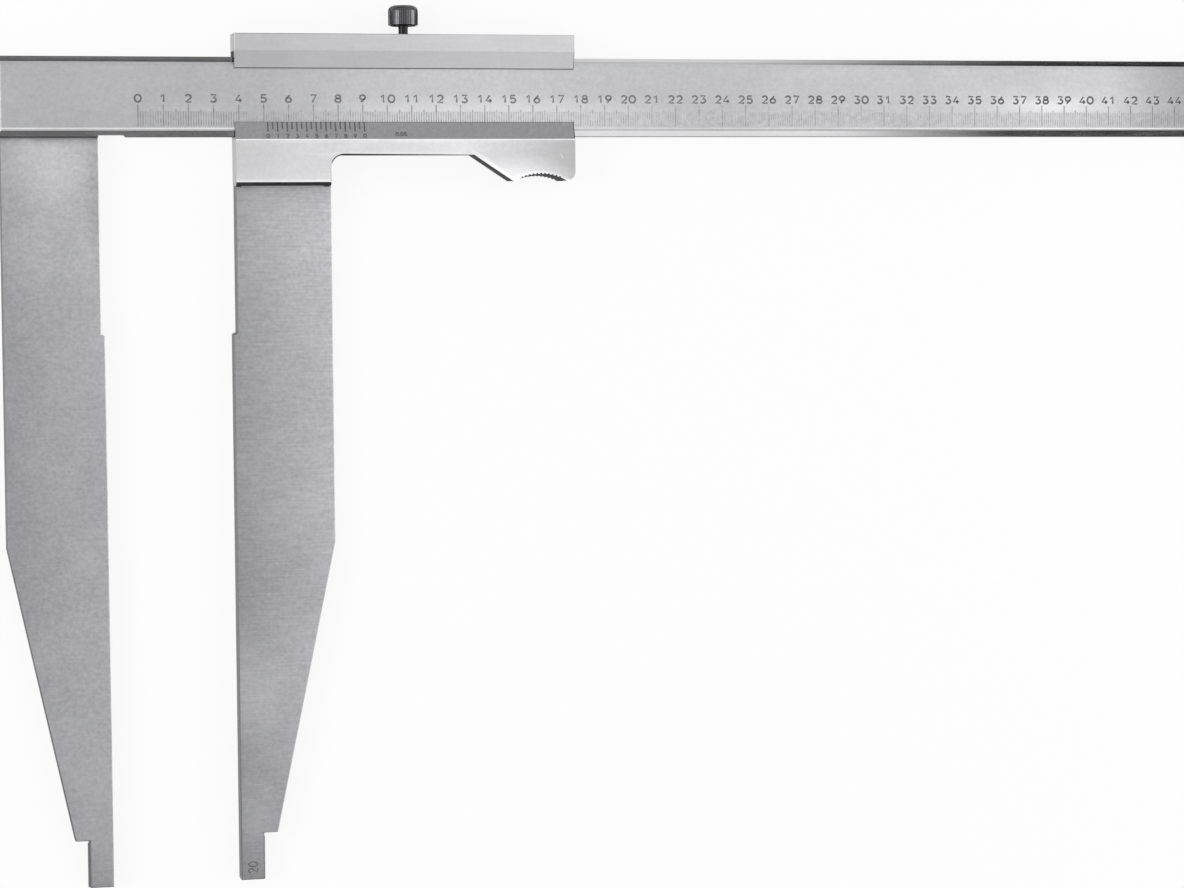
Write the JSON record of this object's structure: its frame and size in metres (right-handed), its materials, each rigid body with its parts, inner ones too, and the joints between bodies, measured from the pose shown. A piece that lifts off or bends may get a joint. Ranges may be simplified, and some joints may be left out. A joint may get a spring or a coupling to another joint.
{
  "type": "long jaw vernier caliper",
  "caption": "Large steel vernier caliper with long slim-tipped jaws, a bevelled slider on a graduated beam, a thumb rest and a knurled lock screw.",
  "frame": {"origin": "in the plane of the fixed jaw's measuring face (X = 0), at the beam's lower guide edge (Y = 0), on the plane that the caliper rests on (Z = 0)", "axes": "+X along the beam, away from the fixed jaw; +Y towards the beam's upper edge, so the jaws reach down to -Y; +Z out of the face that carries the scales"},
  "size_m": [0.6946, 0.3531, 0.0141],
  "materials": {
    "beam_steel": "satin",
    "jaw_steel": "ground",
    "slider_steel": "satin",
    "plate_steel": "satin",
    "screw_steel": "satin",
    "dowel_steel": "ground",
    "spring_steel": "satin",
    "gib_bronze": "satin",
    "pad_brass": "satin",
    "black_steel": "black oxide"
  },
  "bodies": {
    "beam_assembly": {"beam": "beam_steel", "fixed_jaw": "jaw_steel", "fixed_jaw_screws": "screw_steel", "fixed_jaw_dowels": "dowel_steel", "end_stop": "plate_steel", "end_stop_screws": "screw_steel"},
    "slider_assembly": {"slider_block": "slider_steel", "slider_rail": "slider_steel", "slider_back_plate": "plate_steel", "back_plate_screws": "screw_steel", "back_plate_dowels": "dowel_steel", "moving_jaw": "jaw_steel", "moving_jaw_screws": "screw_steel", "moving_jaw_dowels": "dowel_steel", "gib_strip": "gib_bronze", "gib_springs": "spring_steel", "gib_set_screws": "screw_steel", "gib_keeper_pins": "dowel_steel"},
    "pad": {"clamp_pad": "pad_brass"},
    "lock": {"lock_screw": "black_steel", "lock_knob": "black_steel"}
  },
  "joints": [
    {"name": "slider_slide", "type": "slide", "parent": "beam_assembly", "child": "slider_assembly", "axis": [1, 0, 0], "range_m": [-0.0514, 0.4486]},
    {"name": "pad_slide", "type": "slide", "parent": "slider_assembly", "child": "pad", "axis": [0, 1, 0], "range_m": [0, 0.0011]},
    {"name": "lock_turn", "type": "hinge", "parent": "pad", "child": "lock", "pos_m": [0.1217, 0.045, 0.00655], "axis": [0, 1, 0], "range_deg": [0, 540]}
  ],
  "couplings": [
    {"joint": "pad_slide", "follows": "lock_turn", "m_per_rad": 0.00011141}
  ]
}
